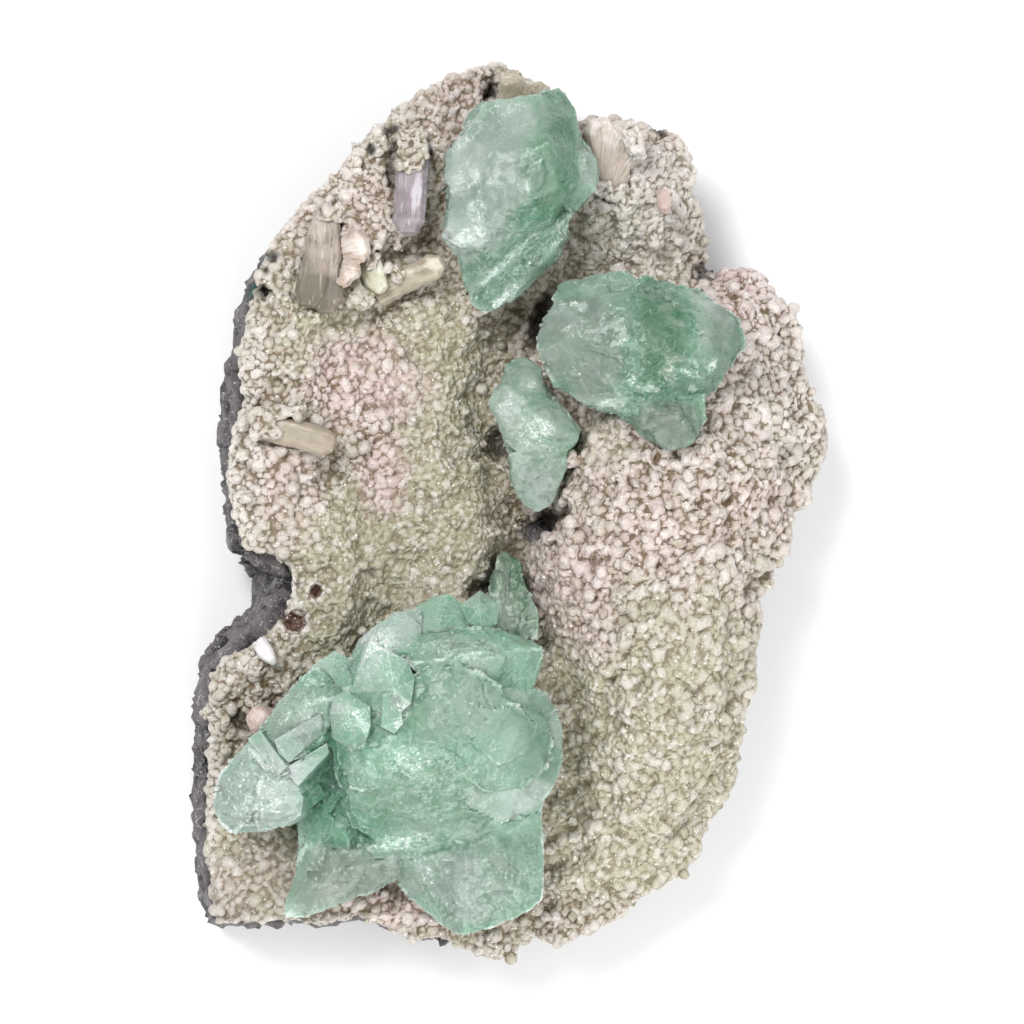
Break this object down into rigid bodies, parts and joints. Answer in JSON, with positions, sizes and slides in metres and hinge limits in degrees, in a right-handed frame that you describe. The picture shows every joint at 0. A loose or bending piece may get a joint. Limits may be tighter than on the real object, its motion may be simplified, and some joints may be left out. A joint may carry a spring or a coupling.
{
  "type": "apophyllite cluster",
  "caption": "Sprays of green apophyllite crystals and small stilbite blades on a lumpy cream zeolite crust over a broken slab of dark basalt.",
  "frame": {"origin": "Under the middle of the specimen's bounding box, on the surface that it rests on.", "axes": "+Z points out of the crystal face, away from the flat back that the slab lies on. +Y runs along the slab's length, towards the blocky upper spray. +X points across the slab, towards the side with the raised dome."},
  "size_m": [0.1296, 0.1792, 0.0614],
  "materials": {
    "basalt": "rough broken basalt",
    "crust": "rough sugary druse",
    "apophyllite": "glassy, partly clear",
    "stilbite": "pearly",
    "lavender_stilbite": "pearly",
    "pink_stilbite": "pearly"
  },
  "bodies": {
    "root": {"basalt_matrix": "basalt", "zeolite_crust": "crust", "apophyllite_rosette": "apophyllite", "apophyllite_upper_spray": "apophyllite", "apophyllite_fan_spray": "apophyllite", "apophyllite_valley_spray": "apophyllite", "apophyllite_crevice_spray": "apophyllite", "stilbite_lavender_blade": "lavender_stilbite", "stilbite_drape_blade": "stilbite", "stilbite_pink_fan": "stilbite", "stilbite_upper_leaf": "stilbite", "stilbite_lower_leaf": "stilbite", "stilbite_tan_blade": "stilbite", "stilbite_top_knob": "stilbite", "stilbite_right_sheaf": "stilbite", "stilbite_rim_blade": "stilbite", "stilbite_pink_knob": "pink_stilbite", "stilbite_pink_prism": "pink_stilbite", "stilbite_white_knob": "stilbite"}
  },
  "joints": []
}
